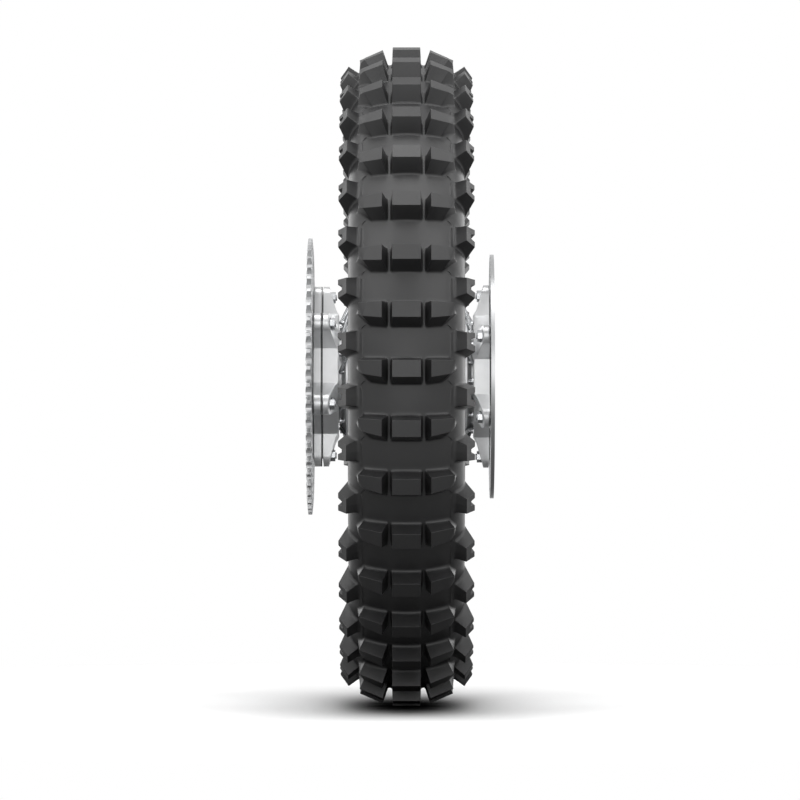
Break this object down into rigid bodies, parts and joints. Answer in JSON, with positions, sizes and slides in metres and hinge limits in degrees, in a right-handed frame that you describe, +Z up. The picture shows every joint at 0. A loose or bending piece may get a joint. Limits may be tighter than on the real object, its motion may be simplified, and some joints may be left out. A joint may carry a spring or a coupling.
{
  "type": "off-road motorcycle rear wheel with knobbly tyre",
  "caption": "Spoked off-road motorcycle rear wheel with knobbly tyre, chain sprocket, brake disc, bearings and a through bore for the axle.",
  "frame": {"origin": "centre of the wheel, on the axle's axis in the rim's centre plane", "axes": "+Y along the axle towards the sprocket, +X forwards, +Z up"},
  "size_m": [0.648, 0.1832, 0.648],
  "materials": {
    "tyre_rubber": "matt black moulded rubber",
    "tube_rubber": "smooth black butyl rubber",
    "brass": "turned and threaded",
    "bright_steel": "bright drawn and plated",
    "black_plastic": "moulded, ribbed grip",
    "tape_rubber": "matt strip",
    "rim_alloy": "satin extruded and polished",
    "hub_alloy": "fine cast and machined",
    "sprocket_metal": "machined, satin",
    "bolt_steel": "zinc plated",
    "disc_steel": "ground, turned grain",
    "bearing_steel": "ground and polished",
    "cage_brass": "pressed",
    "seal_rubber": "moulded",
    "spring_steel": "blued",
    "collar_alloy": "turned"
  },
  "bodies": {
    "axle_core": {"chain_inner_race_a": "bearing_steel", "chain_inner_race_b": "bearing_steel", "disc_inner_race": "bearing_steel", "spacer_tube": "collar_alloy", "chain_collar": "collar_alloy", "disc_collar": "collar_alloy"},
    "wheel": {"tyre": "tyre_rubber", "inner_tube": "tube_rubber", "valve_stem": "brass", "valve_nut": "bright_steel", "chain_outer_spokes": "bright_steel", "chain_inner_spokes": "bright_steel", "disc_outer_spokes": "bright_steel", "disc_inner_spokes": "bright_steel", "spoke_nipples": "bright_steel", "sprocket_nuts": "bright_steel", "disc_nuts": "bright_steel", "valve_cap": "black_plastic", "rim_tape": "tape_rubber", "rim": "rim_alloy", "hub": "hub_alloy", "sprocket_carrier": "hub_alloy", "sprocket": "sprocket_metal", "sprocket_bolts": "bolt_steel", "disc_bolts": "bolt_steel", "brake_disc": "disc_steel", "chain_outer_race_a": "bearing_steel", "chain_outer_race_b": "bearing_steel", "disc_outer_race": "bearing_steel", "chain_shields_a": "seal_rubber", "chain_shields_b": "seal_rubber", "disc_shields": "seal_rubber", "chain_seal": "seal_rubber", "disc_seal": "seal_rubber", "bearing_circlip": "spring_steel"},
    "chain_a_ball_set": {"chain_balls_a": "bearing_steel", "chain_cage_a": "cage_brass"},
    "chain_b_ball_set": {"chain_balls_b": "bearing_steel", "chain_cage_b": "cage_brass"},
    "disc_ball_set": {"disc_balls": "bearing_steel", "disc_cage": "cage_brass"}
  },
  "joints": [
    {"name": "wheel_spin", "type": "hinge", "parent": "axle_core", "child": "wheel", "pos_m": [0, 0, 0], "axis": [0, 1, 0], "continuous": true},
    {"name": "chain_a_ball_spin", "type": "hinge", "parent": "axle_core", "child": "chain_a_ball_set", "pos_m": [0, 0, 0], "axis": [0, 1, 0], "continuous": true},
    {"name": "chain_b_ball_spin", "type": "hinge", "parent": "axle_core", "child": "chain_b_ball_set", "pos_m": [0, 0, 0], "axis": [0, 1, 0], "continuous": true},
    {"name": "disc_ball_spin", "type": "hinge", "parent": "axle_core", "child": "disc_ball_set", "pos_m": [0, 0, 0], "axis": [0, 1, 0], "continuous": true}
  ],
  "couplings": [
    {"joint": "chain_a_ball_spin", "follows": "wheel_spin", "ratio": 0.58819},
    {"joint": "chain_b_ball_spin", "follows": "wheel_spin", "ratio": 0.58819},
    {"joint": "disc_ball_spin", "follows": "wheel_spin", "ratio": 0.58819}
  ]
}
